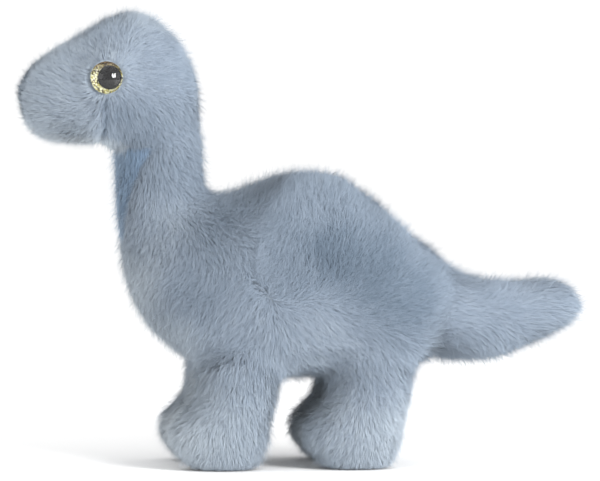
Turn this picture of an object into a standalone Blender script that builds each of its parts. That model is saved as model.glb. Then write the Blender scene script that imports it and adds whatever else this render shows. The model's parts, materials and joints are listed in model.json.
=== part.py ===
"""A stuffed long-necked dinosaur, standing on four legs, in metres with +Z up and its head towards -X.

The pile fabric is modelled as closed panels of even thickness that meet along seams. Inside them lie
the fillings, one for each section. The sections meet at soft joints, where both ends slope away from
the hinge so that they can bend without touching. The toy is mirrored about the plane Y = 0.
"""

import math

import bmesh
import bpy
import numpy as np
from mathutils import Matrix, Vector
from mathutils.bvhtree import BVHTree

MM = 0.001

# Driving sizes -----------------------------------------------------------------------------------
TORSO_LENGTH = 165 * MM  # from the chest's front to the tail's root
TORSO_HEIGHT = 98.5 * MM  # from the belly to the top of the back
TORSO_WIDTH = 96 * MM
BELLY_HEIGHT = 48.5 * MM  # the belly above the soles, so also the legs' free length
NECK_LENGTH = 37 * MM  # along the neck, between its two joints
NECK_LEAN = math.radians(4.0)  # how far the neck leans towards the head's front
NECK_THICKNESS = 43 * MM  # front to back, under the head
NECK_WIDTH = 41 * MM
HEAD_LENGTH = 91 * MM
HEAD_HEIGHT = 65.5 * MM
HEAD_WIDTH = 63 * MM
JAW_RAISE = 2 * MM  # the jaw above the front edge of the neck's top
TAIL_LENGTH = 72 * MM
TAIL_THICKNESS = 46 * MM  # top to bottom at the root
TAIL_WIDTH = 51 * MM  # just behind the root
LEG_DEPTH = 42 * MM  # front to back under the belly
LEG_WIDTH = 43 * MM
LEG_SPREAD = 55 * MM  # between the middles of the left and right legs
FRONT_LEG_X = -37 * MM  # hinge lines of the legs, counted from the belly's middle
HIND_LEG_X = 30 * MM
LEG_RISE = 7 * MM  # how far a leg's outer edge may climb round the torso's lower corner

# The fabric and how it is sewn
PELT_THICKNESS = 3.2 * MM  # backing cloth and the dense part of the pile
SEAM_GAP = 0.6 * MM  # between two panels along a seam
FILLING_GAP = 1.5 * MM  # between a panel and the filling behind it
GUSSET_WIDTH = 54 * MM  # belly gusset at its widest
HEAD_GUSSET_WIDTH = 25 * MM
CROWN_BACK_WIDTH = 10 * MM
CHIN_PANEL_WIDTH = 30 * MM
CHIN_BACK_WIDTH = 0.9 * NECK_WIDTH
CHIN_FRONT_WIDTH = 0.8 * CHIN_PANEL_WIDTH
SEAM_END_WIDTH = 5 * MM  # a gusset where it runs out, beside the tail and at the throat
SEAM_TIP_WIDTH = 0.6 * MM  # a head panel's width at the nose
THROAT_ANGLES = (math.radians(10), math.radians(80))  # half the throat panel's arc, chest and jaw
GUSSET_TAPER = (0.3, 0.35)  # shares of the torso over which the belly gusset widens, back and front
CHIN_TAPER = 0.25  # the same for the chin panel and the crown, as shares of the head
CROWN_TAPER = 0.3

# The soft joints
JOINT_GAP = 0.9 * MM  # between the two ends at the hinge line
NECK_LIMIT = math.radians(10)
HEAD_LIMIT = math.radians(10)
TAIL_LIMIT = math.radians(12)
LEG_OUT_LIMIT = math.radians(15)  # a leg swinging away from the other pair
LEG_IN_LIMIT = math.radians(6)  # a leg swinging towards the other pair
LIMIT_MARGIN = math.radians(1.5)

# The eyes
EYE_DIAMETER = 16 * MM
EYE_ALONG_HEAD = 0.543  # the eye's place, as a share of the head's length from its back
EYE_UP_HEAD = 0.50  # and of its height from the jaw
PUPIL_DIAMETER = 10.6 * MM
PUPIL_SHIFT = 1.5 * MM  # the pupil is printed a little behind the iris's middle
DOME_RISE = 3.4 * MM
DOME_EDGE = 0.8 * MM
DISC_THICKNESS = 0.5 * MM  # iris and pupil discs
FLANGE_THICKNESS = 1.0 * MM
EYE_GAP = 0.3 * MM  # between neighbouring pieces of an eye
EYE_SEAT_DEPTH = 2.4 * MM  # the pile is cut away to this depth under the eye
POST_DIAMETER = 5 * MM
POST_LENGTH = 8.0 * MM
POST_TAPER = 1 * MM  # length of the post's narrowed tip, and the room left beyond it
POST_TIP_SHARE = 0.8
WASHER_DIAMETER = 13 * MM
WASHER_THICKNESS = 1.2 * MM
WASHER_POCKET_GAP = 0.5 * MM

# How squarely a ring is rounded: 2 is an ellipse and higher numbers are boxier
ROUND = 2.15
BELLY_ROUND = 4.2
LEG_ROUND = 2.4

# Mesh spacing
ROWS_PER_LENGTH = 1 / (9 * MM)
FEWEST_ROWS = 5
RING_STEPS = 28
SMALL_RING_STEPS = 14  # round the tail's and the legs' fillings
LEG_ROW_COUNT = 7
LEG_PANEL_STEPS = 7
BELLY_STEPS = 5
THROAT_STEPS = 6
HEAD_STRIP_STEPS = 4  # across the chin panel and across the crown
CAP_RINGS = (0.7, 0.4)  # rings that close a leg's filling, as shares of its rim
SKIN_SAMPLES = (300, 181)  # along and around the body, for finding its underside
EYE_SEARCH_STEPS = 31
EYE_SEARCH_ROUNDS = 8
EYE_SEARCH_EDGE = 0.1  # radians kept clear of the head's top and bottom
HALVINGS = 36
SHARP_ANGLE = math.radians(50)

# How far either side of a joint its end surface is looked for
BEND_REACH = 0.45 * NECK_LENGTH
FAR_REACH = 0.35 * TORSO_LENGTH  # the nape's rings crowd together, so its end lies further back
LEG_END_FROM = 0.4  # share of a leg's sweep at which the search for its top starts

SIDE_STEPS = {"tail": 7, "torso": 13, "neck": 9, "head": 9}  # faces across each side panel

# Outlines ----------------------------------------------------------------------------------------
# Each row is one ring: top point, bottom point, half-width, roundness of the lower half.
# Torso: lengths in percent of TORSO_LENGTH from the belly's middle, heights in percent of
# TORSO_HEIGHT above the belly, half-widths in percent of TORSO_WIDTH / 2.
TORSO_ROWS = [
    (44, 51, 39, 7.5, 62, ROUND),
    (39, 57.5, 35, 6, 77, 2.6),
    (32, 66, 31, 3.5, 90, 3.4),
    (25, 76.5, 25, 1.2, 97, BELLY_ROUND),
    (17, 87, 17, 0, 100, BELLY_ROUND),
    (7, 98, 7, 0, 100, BELLY_ROUND),
    (-4, 99, -4, 0, 100, BELLY_ROUND),
    (-13.5, 94.5, -15.5, 0.3, 98, BELLY_ROUND),
    (-20.5, 90.5, -26, 3, 94.5, 3.6),
    (-24.7, 89, -36, 9, 88, 2.9),
    (-27.6, 89, -45, 21, 79, 2.4),
    (-29.3, 90.2, -51.3, 36, 69, ROUND),
    (-30.4, 91.6, -54.8, 53, 57, ROUND),
    (-31.3, 93, -56.4, 68.5, 48, ROUND),
]
# Tail, root to tip: lengths in percent of TAIL_LENGTH, heights in percent of TAIL_THICKNESS from the
# root's middle, half-widths in percent of TAIL_WIDTH / 2.
TAIL_ROWS = [
    (20, 36, 11, -48.5, 100),
    (34, 31, 30, -48.5, 88),
    (48, 28, 44, -43, 80),
    (62, 31, 58, -35, 72),
    (75, 33, 72, -28.5, 64),
    (86, 31, 83, -20, 54),
    (95, 23, 93, -10.5, 37),
    (100, 8.5, 99.5, 4.5, 4),
]
# Head, neck to nose: lengths in percent of HEAD_LENGTH forward from its back, heights in percent of
# HEAD_HEIGHT above the jaw, half-widths in percent of HEAD_WIDTH / 2.
HEAD_ROWS = [
    (0.5, 18, 47.5, -1.5, 69),
    (2, 40, 48.5, -0.5, 79),
    (6, 61, 49.5, 0, 89),
    (13.5, 78.5, 51.5, 0, 95),
    (24, 92.5, 55, 0, 98.5),
    (37, 99.5, 59.5, 0, 100),
    (53, 92.5, 66, 0, 98),
    (67, 80.5, 74, 0, 92),
    (80.5, 70, 82, 1, 82),
    (90, 62, 89.5, 5, 70),
    (96.3, 52, 94.8, 13, 54),
    (99.4, 42, 97.8, 23, 33),
    (100, 34, 99.8, 31, 3),
]
# Leg, top to sole: height in percent of BELLY_HEIGHT, front and back in percent of LEG_DEPTH from the
# hinge line, half-width in percent of LEG_WIDTH / 2.
LEG_ROWS = [
    (130, -47, 50, 88),
    (97, -47.5, 50, 94),
    (82.5, -49, 47.5, 98),
    (68, -53, 43.5, 100),
    (55.5, -69, 40, 100),
    (43, -83, 37.5, 99),
    (31, -81.5, 37, 97),
    (19.5, -70, 32, 90),
    (8, -57, 21.5, 74),
    (2, -43.5, 11.5, 54),
    (0, -33, 3.5, 36),
    (0, -17, -14, 4),
]

PILE_BLUE = (0.30, 0.38, 0.49)
THROAT_BLUE = (0.16, 0.27, 0.47)
FILLING_WHITE = (0.80, 0.80, 0.77)
IRIS_GOLD = (0.62, 0.50, 0.27)
EYE_BLACK = (0.012, 0.012, 0.014)
WASHER_WHITE = (0.82, 0.82, 0.80)
CLEAR = (0.92, 0.93, 0.94)

TURN_STEPS = 24  # sides of the eyes' round pieces
SIDES = {"left": -1, "right": 1}


# Materials and objects ---------------------------------------------------------------------------
def make_material(name, colour, roughness=0.9, metallic=0.0, transmission=0.0):
    material = bpy.data.materials.new(name)
    material.use_nodes = True
    shader = material.node_tree.nodes["Principled BSDF"]
    shader.inputs["Base Color"].default_value = (*colour, 1)
    shader.inputs["Roughness"].default_value = roughness
    shader.inputs["Metallic"].default_value = metallic
    shader.inputs["Transmission Weight"].default_value = transmission
    material.diffuse_color = (*colour, 1)
    return material


def add_object(name, points, faces, pivot, material):
    """A closed mesh, its faces turned outwards, placed under the pivot's empty."""
    mesh = bpy.data.meshes.new(name)
    local = np.asarray(points, float) - np.array(pivot.matrix_world.translation)
    mesh.from_pydata([tuple(p) for p in local], [], faces)
    work = bmesh.new()
    work.from_mesh(mesh)
    if work.calc_volume(signed=True) < 0:
        bmesh.ops.reverse_faces(work, faces=work.faces)
    work.to_mesh(mesh)
    work.free()
    mesh.shade_smooth()
    mesh.set_sharp_from_angle(angle=SHARP_ANGLE)
    mesh.materials.append(material)
    item = bpy.data.objects.new(name, mesh)
    bpy.context.collection.objects.link(item)
    item.parent = pivot
    return item


def add_pivot(name, place, parent=None):
    """An empty on a joint's axis, which carries the section that turns about it."""
    empty = bpy.data.objects.new(name, None)
    bpy.context.collection.objects.link(empty)
    empty.empty_display_size = 10 * MM
    if parent is not None:
        empty.parent = parent
        place = Vector(place) - parent.matrix_world.translation
    empty.location = place
    bpy.context.view_layer.update()
    return empty


# Swept surfaces ----------------------------------------------------------------------------------
def gentle_slopes(knots, values):
    """Slopes of a smooth curve through the values that never overshoots them."""
    step = np.diff(knots)
    rise = np.diff(values) / step
    slopes = np.zeros_like(values)
    before, after = rise[:-1], rise[1:]
    same_way = before * after > 0
    mean = 2 * before * after / np.where(same_way, before + after, 1)
    slopes[1:-1] = np.where(same_way, mean, 0)
    slopes[0], slopes[-1] = rise[0], rise[-1]
    return slopes


class Loft:
    """A surface through a row of rings. Each ring spans a first and a second rail point (x, z), has a
    half-width across them, and is rounder or squarer on its second rail's side."""

    def __init__(self, first, second, half_width, roundness, middle_y=0.0):
        rows = np.column_stack([first, second, half_width, roundness]).astype(float)
        moves = np.linalg.norm(np.diff(rows[:, :4], axis=0).reshape(-1, 2, 2), axis=2).mean(axis=1)
        self.knots = np.concatenate([[0], np.cumsum(moves)])
        self.rows = rows
        self.slopes = np.column_stack([gentle_slopes(self.knots, c) for c in rows.T])
        self.middle_y = middle_y
        self.length = self.knots[-1]
        self.facing = 1
        middle, side = np.array([self.length / 2]), np.array([math.pi / 2])
        self.facing = 1 if self.normal(middle, side)[0, 1] > 0 else -1

    def ring(self, u):
        """The ring's six values at u, a length along the sweep."""
        u = np.clip(u, 0, self.length)
        k = np.clip(np.searchsorted(self.knots, u, side="right") - 1, 0, len(self.knots) - 2)
        step = (self.knots[k + 1] - self.knots[k])[..., None]
        t = (u[..., None] - self.knots[k][..., None]) / step
        start, end = self.rows[k], self.rows[k + 1]
        leave, arrive = self.slopes[k] * step, self.slopes[k + 1] * step
        keep = 2 * t**3 - 3 * t**2 + 1
        return (
            keep * start
            + (1 - keep) * end
            + (t**3 - 2 * t**2 + t) * leave
            + (t**3 - t**2) * arrive
        )

    def radius(self, ring, angle):
        half = 0.5 * np.hypot(ring[..., 0] - ring[..., 2], ring[..., 1] - ring[..., 3])
        power = np.where(np.cos(angle) > 0, ROUND, ring[..., 5])
        along = np.abs(np.cos(angle)) / half
        across = np.abs(np.sin(angle)) / ring[..., 4]
        return (along**power + across**power) ** (-1 / power)

    def surface(self, u, angle):
        ring = self.ring(u)
        middle = 0.5 * (ring[..., 0:2] + ring[..., 2:4])
        up = ring[..., 0:2] - ring[..., 2:4]
        up = up / np.linalg.norm(up, axis=-1, keepdims=True)
        r = self.radius(ring, angle)
        in_plane = middle + up * (r * np.cos(angle))[..., None]
        y = self.middle_y + r * np.sin(angle)
        return np.stack([in_plane[..., 0], y, in_plane[..., 1]], axis=-1)

    def normal(self, u, angle):
        du, da = 0.05 * MM, 1e-4
        low, high = np.clip(u - du, 0, self.length), np.clip(u + du, 0, self.length)
        along = self.surface(high, angle) - self.surface(low, angle)
        round_it = self.surface(u, angle + da) - self.surface(u, angle - da)
        n = np.cross(round_it, along)
        size = np.maximum(np.linalg.norm(n, axis=-1, keepdims=True), 1e-15)
        return self.facing * n / size

    def point(self, u, angle, depth=0.0):
        """A point at a depth under the surface."""
        return self.surface(u, angle) - depth * self.normal(u, angle)


class Bend:
    """A soft joint: a hinge point, the way its child points, and the slope of both ends."""

    def __init__(self, centre, towards, limit, sideways=False):
        self.centre = np.array(centre)
        self.towards = np.array(towards) / np.linalg.norm(towards)
        self.across = np.array([0, 1, 0]) if sideways else np.cross(self.towards, [0, 1, 0])
        self.slope = math.tan(limit / 2 + LIMIT_MARGIN)

    def room(self, p, side):
        """How far a point is inside the end surface, on the parent's (-1) or child's (1) side."""
        off = p - self.centre
        return side * (off @ self.towards) - JOINT_GAP / 2 - self.slope * np.abs(off @ self.across)

    def tip(self, side):
        """Where the end surface meets the hinge line."""
        return self.centre + side * self.towards * JOINT_GAP / 2


def end_position(path, low, high, room):
    """Where along the sweep, between low (inside) and high (outside), room falls to zero."""
    low, high = low.copy(), high.copy()
    for _ in range(HALVINGS):
        middle = 0.5 * (low + high)
        inside = room(path(middle)) > 0
        low = np.where(inside, middle, low)
        high = np.where(inside, high, middle)
    return 0.5 * (low + high)


def rows_between(start, end):
    return max(FEWEST_ROWS, round((end - start) * ROWS_PER_LENGTH))


class Section:
    """A stretch of a loft between two ends, with the same number of rows in all its pieces, so that
    they match along their seams. An end is a length along the sweep, or a (from, to, room) triple:
    search between the two lengths for the place where room runs out. Rows may have marks, lengths
    near the first end that they pass through."""

    def __init__(self, loft, first_end, last_end, rows, marks=()):
        self.loft = loft
        self.ends = (first_end, last_end)
        self.rows = rows
        self.marks = marks

    def shortened(self, amount):
        """The same section with its closed tips pulled in."""
        first, last = self.ends
        first = first if isinstance(first, tuple) else first + amount
        last = last if isinstance(last, tuple) else last - amount
        return Section(self.loft, first, last, self.rows)

    def grid(self, edges, columns, depth):
        """Rows of points between two edge angles, which are functions of the sweep's length."""
        share = np.linspace(0, 1, columns + 1)

        def angle(u):
            return edges[0](u) * (1 - share) + edges[1](u) * share

        def path(u):
            return self.loft.point(u, angle(u), depth)

        stops = []
        for end in self.ends:
            if isinstance(end, tuple):
                low, high, room = end
                stops.append(end_position(path, 0 * share + low, 0 * share + high, room))
            else:
                stops.append(0 * share + end)
        stops[:1] = [stops[0], *(0 * share + mark for mark in self.marks)]
        rows = [path(stop) for stop in stops[:-2]]
        steps = np.linspace(0, 1, self.rows + 1)
        rows += [path(stops[-2] * (1 - t) + stops[-1] * t) for t in steps]
        return np.array(rows)


def quads(rows, columns, offset=0, closed=False):
    """Faces of a grid whose points are numbered row by row."""
    width = columns if closed else columns + 1
    faces = []
    for i in range(rows):
        for j in range(columns):
            a, b = i * width + j, i * width + (j + 1) % width
            faces.append((offset + a, offset + b, offset + b + width, offset + a + width))
    return faces


def add_panel(name, section, edges, columns, pivot, material):
    """A piece of pile fabric: an outer and an inner skin joined round their edges."""
    outer = section.grid(edges, columns, 0.0)
    rows = len(outer) - 1
    inner = section.grid(edges, columns, PELT_THICKNESS)
    count = outer.shape[0] * outer.shape[1]
    points = np.concatenate([outer.reshape(-1, 3), inner.reshape(-1, 3)])
    faces = quads(rows, columns)
    faces += [tuple(reversed(f)) for f in quads(rows, columns, count)]
    index = np.arange(count).reshape(rows + 1, columns + 1)
    border = [*index[0, :-1], *index[:-1, -1], *index[-1, :0:-1], *index[:0:-1, 0]]
    for a, b in zip(border, border[1:] + border[:1]):
        faces.append((int(b), int(a), int(a + count), int(b + count)))
    return add_object(name, points, faces, pivot, material)


def add_filling(name, section, tips, pivot, material, columns=RING_STEPS, cover=None):
    """A filling: a closed sweep under the fabric, with a point in the middle of each end.

    cover(x, y), if given, is the height of the last end's surface, which is then made of rings."""
    depth = PELT_THICKNESS + FILLING_GAP
    turn = 2 * math.pi * (1 - 1 / columns)
    section = section.shortened(depth)
    grid = section.grid((lambda u: 0 * u, lambda u: 0 * u + turn), columns - 1, depth)
    rows = len(grid) - 1
    points = [tuple(p) for p in grid.reshape(-1, 3)]
    faces = quads(rows, columns, closed=True)
    if cover is not None:
        rim = grid[-1]
        middle = rim.mean(axis=0)
        for share in CAP_RINGS:
            ring = middle + (rim - middle) * share
            ring[:, 2] = [cover(x, y) - depth for x, y in ring[:, :2]]
            points += [tuple(p) for p in ring]
        tips = (tips[0], (middle[0], middle[1], cover(middle[0], middle[1]) - depth))
        rows += len(CAP_RINGS)
        faces = quads(rows, columns, closed=True)
    for row, tip, flip in ((0, tips[0], True), (rows, tips[1], False)):
        if tip is None:
            tip = np.mean(points[row * columns:(row + 1) * columns], axis=0)
        points.append(tuple(tip))
        for j in range(columns):
            a, b = row * columns + j, row * columns + (j + 1) % columns
            faces.append((b, a, len(points) - 1) if flip else (a, b, len(points) - 1))
    return add_object(name, points, faces, pivot, material)


# Seams -------------------------------------------------------------------------------------------
def seam(loft, base_angle, width_at=None, share_at=None, side=1):
    """The angle of a panel's edge half a seam gap to one side of the seam's line.

    The seam's line lies at base_angle, or where a strip of the given width, centred on that angle,
    has its edge, or at a share of the half turn from it."""

    def angle(u):
        ring = loft.ring(u)
        middle = np.full_like(u, base_angle)
        if width_at is not None:
            half = 0.5 * np.hypot(ring[..., 0] - ring[..., 2], ring[..., 1] - ring[..., 3])
            offset = np.arctan2(width_at(u) / 2, half)
        elif share_at is not None:
            offset = share_at(u)
        else:
            offset = 0 * u
        line = middle + offset * (1 if base_angle < 1 else -1)
        return line + side * 0.5 * SEAM_GAP / loft.radius(ring, line)

    return angle


def mirrored(angle):
    return lambda u: -angle(u)


def widths_between(places, widths):
    """A strip's width along the sweep, easing from each named place to the next."""
    places, widths = np.array(places), np.array(widths)
    slopes = gentle_slopes(places, widths)

    def width(u):
        k = np.clip(np.searchsorted(places, u, side="right") - 1, 0, len(places) - 2)
        step = places[k + 1] - places[k]
        t = np.clip((u - places[k]) / step, 0, 1)
        keep = 2 * t**3 - 3 * t**2 + 1
        bend = (t**3 - 2 * t**2 + t) * slopes[k] + (t**3 - t**2) * slopes[k + 1]
        return keep * widths[k] + (1 - keep) * widths[k + 1] + bend * step

    return width


# The body's sweep, from the tail's tip to the nose ------------------------------------------------
def body_rows():
    """All rings from tail to nose in metres, and where each section starts."""
    torso = [
        (tx * TORSO_LENGTH / 100, BELLY_HEIGHT + tz * TORSO_HEIGHT / 100,
         bx * TORSO_LENGTH / 100, BELLY_HEIGHT + bz * TORSO_HEIGHT / 100,
         w * TORSO_WIDTH / 200, power)
        for tx, tz, bx, bz, w, power in TORSO_ROWS
    ]
    root = torso[0]
    root_x, root_z = 0.5 * (root[0] + root[2]), 0.5 * (root[1] + root[3])
    tail = [
        (root_x + tx * TAIL_LENGTH / 100, root_z + tz * TAIL_THICKNESS / 100,
         root_x + bx * TAIL_LENGTH / 100, root_z + bz * TAIL_THICKNESS / 100,
         w * TAIL_WIDTH / 200, ROUND)
        for tx, tz, bx, bz, w in TAIL_ROWS
    ]
    base = torso[-1]
    base_middle = np.array([0.5 * (base[0] + base[2]), 0.5 * (base[1] + base[3])])
    top_middle = base_middle + NECK_LENGTH * np.array([-math.sin(NECK_LEAN), math.cos(NECK_LEAN)])
    tilt = 2 * NECK_LEAN
    half = 0.5 * NECK_THICKNESS * np.array([math.cos(tilt), math.sin(tilt)])
    neck_top = (*(top_middle + half), *(top_middle - half), NECK_WIDTH / 2, ROUND)
    back_x, jaw_z = neck_top[0], neck_top[3] + JAW_RAISE
    head = [
        (back_x - tx * HEAD_LENGTH / 100, jaw_z + tz * HEAD_HEIGHT / 100,
         back_x - bx * HEAD_LENGTH / 100, jaw_z + bz * HEAD_HEIGHT / 100,
         w * HEAD_WIDTH / 200, ROUND)
        for tx, tz, bx, bz, w in HEAD_ROWS
    ]
    rows = tail[::-1] + torso + [neck_top] + head
    starts = {"tail": 0, "torso": len(tail), "neck": len(tail) + len(torso) - 1,
              "head": len(tail) + len(torso)}
    rows = np.array(rows)
    extent = (rows[:, [0, 2]].min() + rows[:, [0, 2]].max()) / 2
    rows[:, [0, 2]] -= extent  # the object's box is centred on the origin
    return rows, starts, extent


def ring_middle(row):
    return np.array([0.5 * (row[0] + row[2]), 0, 0.5 * (row[1] + row[3])])


def across_ring(row):
    """The way a ring faces, towards the head's end of the sweep."""
    up = np.array([row[0] - row[2], 0, row[1] - row[3]])
    return np.cross(up, [0, 1, 0])


# Sections ----------------------------------------------------------------------------------------
def add_body(loft, rows, starts, materials):
    """Tail, torso, neck and head with their seams; returns their pivots and the head's side panels."""
    tail_bend = Bend(ring_middle(rows[starts["torso"]]), -across_ring(rows[starts["torso"]]),
                     TAIL_LIMIT, sideways=True)
    neck_bend = Bend(ring_middle(rows[starts["neck"]]), across_ring(rows[starts["neck"]]), NECK_LIMIT)
    head_bend = Bend(ring_middle(rows[starts["head"]]), across_ring(rows[starts["head"]]), HEAD_LIMIT)
    tail_at, neck_at, head_at = (loft.knots[starts[n]] for n in ("torso", "neck", "head"))
    reach, far = BEND_REACH, FAR_REACH

    root = add_pivot("torso_frame", (0, 0, 0))
    pivots = {
        "torso": root,
        "tail": add_pivot("tail_pivot", tail_bend.centre, root),
        "neck": add_pivot("neck_pivot", neck_bend.centre, root),
    }
    pivots["head"] = add_pivot("head_pivot", head_bend.centre, pivots["neck"])

    ends = {
        "tail": (0.0, (tail_at - far, tail_at + reach, lambda p: tail_bend.room(p, 1))),
        "torso": ((tail_at + far, tail_at - reach, lambda p: tail_bend.room(p, -1)),
                  (neck_at - far, neck_at + reach, lambda p: neck_bend.room(p, -1))),
        "neck": ((neck_at + reach, neck_at - far, lambda p: neck_bend.room(p, 1)),
                 (head_at - reach, head_at + reach, lambda p: head_bend.room(p, -1))),
        "head": ((head_at + far, head_at - reach, lambda p: head_bend.room(p, 1)), loft.length),
    }
    limits = {"tail": (0, tail_at), "torso": (tail_at, neck_at), "neck": (neck_at, head_at),
              "head": (head_at, loft.length)}
    sections = {name: Section(loft, *ends[name], rows_between(*limits[name])) for name in ends}
    tips = {
        "tail": (None, tail_bend.tip(1)),
        "torso": (tail_bend.tip(-1), neck_bend.tip(-1)),
        "neck": (neck_bend.tip(1), head_bend.tip(-1)),
        "head": (head_bend.tip(1), None),
    }
    top, bottom = 0.0, math.pi
    gusset = widths_between(
        [tail_at, tail_at + GUSSET_TAPER[0] * TORSO_LENGTH,
         neck_at - GUSSET_TAPER[1] * TORSO_LENGTH, neck_at],
        [SEAM_END_WIDTH, GUSSET_WIDTH, GUSSET_WIDTH, SEAM_END_WIDTH])
    throat = widths_between([neck_at, head_at], THROAT_ANGLES)
    chin = widths_between(
        [head_at, head_at + CHIN_TAPER * HEAD_LENGTH,
         loft.length - CHIN_TAPER * HEAD_LENGTH, loft.length],
        [CHIN_BACK_WIDTH, CHIN_PANEL_WIDTH, CHIN_FRONT_WIDTH, SEAM_TIP_WIDTH])
    crown = widths_between(
        [head_at, head_at + CROWN_TAPER * HEAD_LENGTH,
         loft.length - CROWN_TAPER * HEAD_LENGTH, loft.length],
        [CROWN_BACK_WIDTH, HEAD_GUSSET_WIDTH, HEAD_GUSSET_WIDTH, SEAM_TIP_WIDTH])
    lower = {
        "tail": seam(loft, bottom, side=-1),
        "torso": seam(loft, bottom, width_at=gusset, side=-1),
        "neck": seam(loft, bottom, share_at=throat, side=-1),
        "head": seam(loft, bottom, width_at=chin, side=-1),
    }
    upper = {name: seam(loft, top, side=1) for name in ("tail", "torso", "neck")}
    upper["head"] = seam(loft, top, width_at=crown, side=1)

    cheeks = {}
    for name, section in sections.items():
        for side, sign in SIDES.items():
            edges = (upper[name], lower[name])
            if sign < 0:
                edges = tuple(mirrored(edge) for edge in edges)
            panel = add_panel(f"{name}_side_{side}", section, edges, SIDE_STEPS[name], pivots[name],
                              materials["pile"])
            if name == "head":
                cheeks[side] = panel
        columns = SMALL_RING_STEPS if name == "tail" else RING_STEPS
        add_filling(f"{name}_filling", section, tips[name], pivots[name], materials["filling"], columns)

    strips = [
        ("belly_gusset", "torso", seam(loft, bottom, width_at=gusset, side=1), BELLY_STEPS, "pile"),
        ("throat_panel", "neck", seam(loft, bottom, share_at=throat, side=1), THROAT_STEPS,
         "throat"),
        ("chin_panel", "head", seam(loft, bottom, width_at=chin, side=1), HEAD_STRIP_STEPS, "pile"),
    ]
    for name, section, edge, columns, look in strips:
        edges = (edge, lambda u, edge=edge: 2 * math.pi - edge(u))
        add_panel(name, sections[section], edges, columns, pivots[section], materials[look])
    edge = seam(loft, top, width_at=crown, side=-1)
    add_panel("head_gusset", sections["head"], (mirrored(edge), edge), HEAD_STRIP_STEPS,
              pivots["head"], materials["pile"])
    return pivots, cheeks


def add_legs(loft, extent, root, materials):
    """Four legs, each two panels and a filling, that swing about a line under the belly."""
    u, angle = np.meshgrid(np.linspace(0, loft.length, SKIN_SAMPLES[0]),
                           np.linspace(0, 2 * math.pi, SKIN_SAMPLES[1]))
    skin = loft.surface(u, angle)
    tree = BVHTree.FromPolygons([tuple(p) for p in skin.reshape(-1, 3)],
                                quads(skin.shape[0] - 1, skin.shape[1] - 1))
    percent = np.array(LEG_ROWS)
    for end, hinge_x in (("front", FRONT_LEG_X - extent), ("hind", HIND_LEG_X - extent)):
        forward = LEG_OUT_LIMIT if end == "front" else LEG_IN_LIMIT
        backward = LEG_IN_LIMIT if end == "front" else LEG_OUT_LIMIT
        for side, sign in SIDES.items():
            middle_y = sign * LEG_SPREAD / 2
            heights = percent[:, 0] * BELLY_HEIGHT / 100
            fronts = hinge_x + percent[:, 1] * LEG_DEPTH / 100
            backs = hinge_x + percent[:, 2] * LEG_DEPTH / 100
            leg = Loft(np.column_stack([fronts, heights])[::-1], np.column_stack([backs, heights])[::-1],
                       percent[::-1, 3] * LEG_WIDTH / 200, np.full(len(percent), LEG_ROUND), middle_y)
            hinge_z = tree.ray_cast(Vector((hinge_x, middle_y, -1)), Vector((0, 0, 1)))[0].z

            def cover(x, y, hinge_x=hinge_x, hinge_z=hinge_z, forward=forward, backward=backward):
                hit = tree.ray_cast(Vector((x, y, -1)), Vector((0, 0, 1)))[0]
                highest = hinge_z + LEG_RISE
                under = min(hit.z if hit else highest, highest)
                slope = math.tan((forward if x < hinge_x else backward) + LIMIT_MARGIN)
                return under - JOINT_GAP - slope * abs(x - hinge_x)

            def room(points, cover=cover):
                return np.array([cover(x, y) - z for x, y, z in points])

            pivot = add_pivot(f"leg_{end}_{side}_pivot", (hinge_x, middle_y, hinge_z), root)
            section = Section(leg, 0.0, (LEG_END_FROM * leg.length, leg.length, room), LEG_ROW_COUNT,
                              marks=(leg.knots[1], leg.knots[2]))
            name = f"leg_{end}_{side}"
            front_edge, back_edge = seam(leg, 0.0, side=1), seam(leg, math.pi, side=-1)
            for face, outward in (("outer", sign), ("inner", -sign)):
                edges = (front_edge, back_edge)
                if outward < 0:
                    edges = tuple(mirrored(edge) for edge in edges)
                add_panel(f"{name}_{face}", section, edges, LEG_PANEL_STEPS, pivot,
                          materials["pile"])
            add_filling(f"{name}_filling", section, (None, None), pivot, materials["filling"],
                        SMALL_RING_STEPS, cover)


# Eyes --------------------------------------------------------------------------------------------
def turned(name, profile, place, pivot, material):
    """A solid turned about its own +Z from (radius, height) points; a radius of 0 is on the axis."""
    points, rings, faces = [], [], []
    for radius, height in profile:
        if radius == 0:
            rings.append([len(points)])
            points.append(Vector((0, 0, height)))
            continue
        rings.append(list(range(len(points), len(points) + TURN_STEPS)))
        for k in range(TURN_STEPS):
            turn = 2 * math.pi * k / TURN_STEPS
            points.append(Vector((radius * math.cos(turn), radius * math.sin(turn), height)))
    closed = profile[0][0] > 0
    pairs = list(zip(rings, rings[1:] + rings[:1])) if closed else list(zip(rings, rings[1:]))
    for low, high in pairs:
        for k in range(TURN_STEPS):
            corner = [low[k % len(low)], low[(k + 1) % len(low)],
                      high[(k + 1) % len(high)], high[k % len(high)]]
            face = tuple(dict.fromkeys(corner))
            if len(face) > 2:
                faces.append(face)
    return add_object(name, [tuple(place @ p) for p in points], faces, pivot, material)


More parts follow.
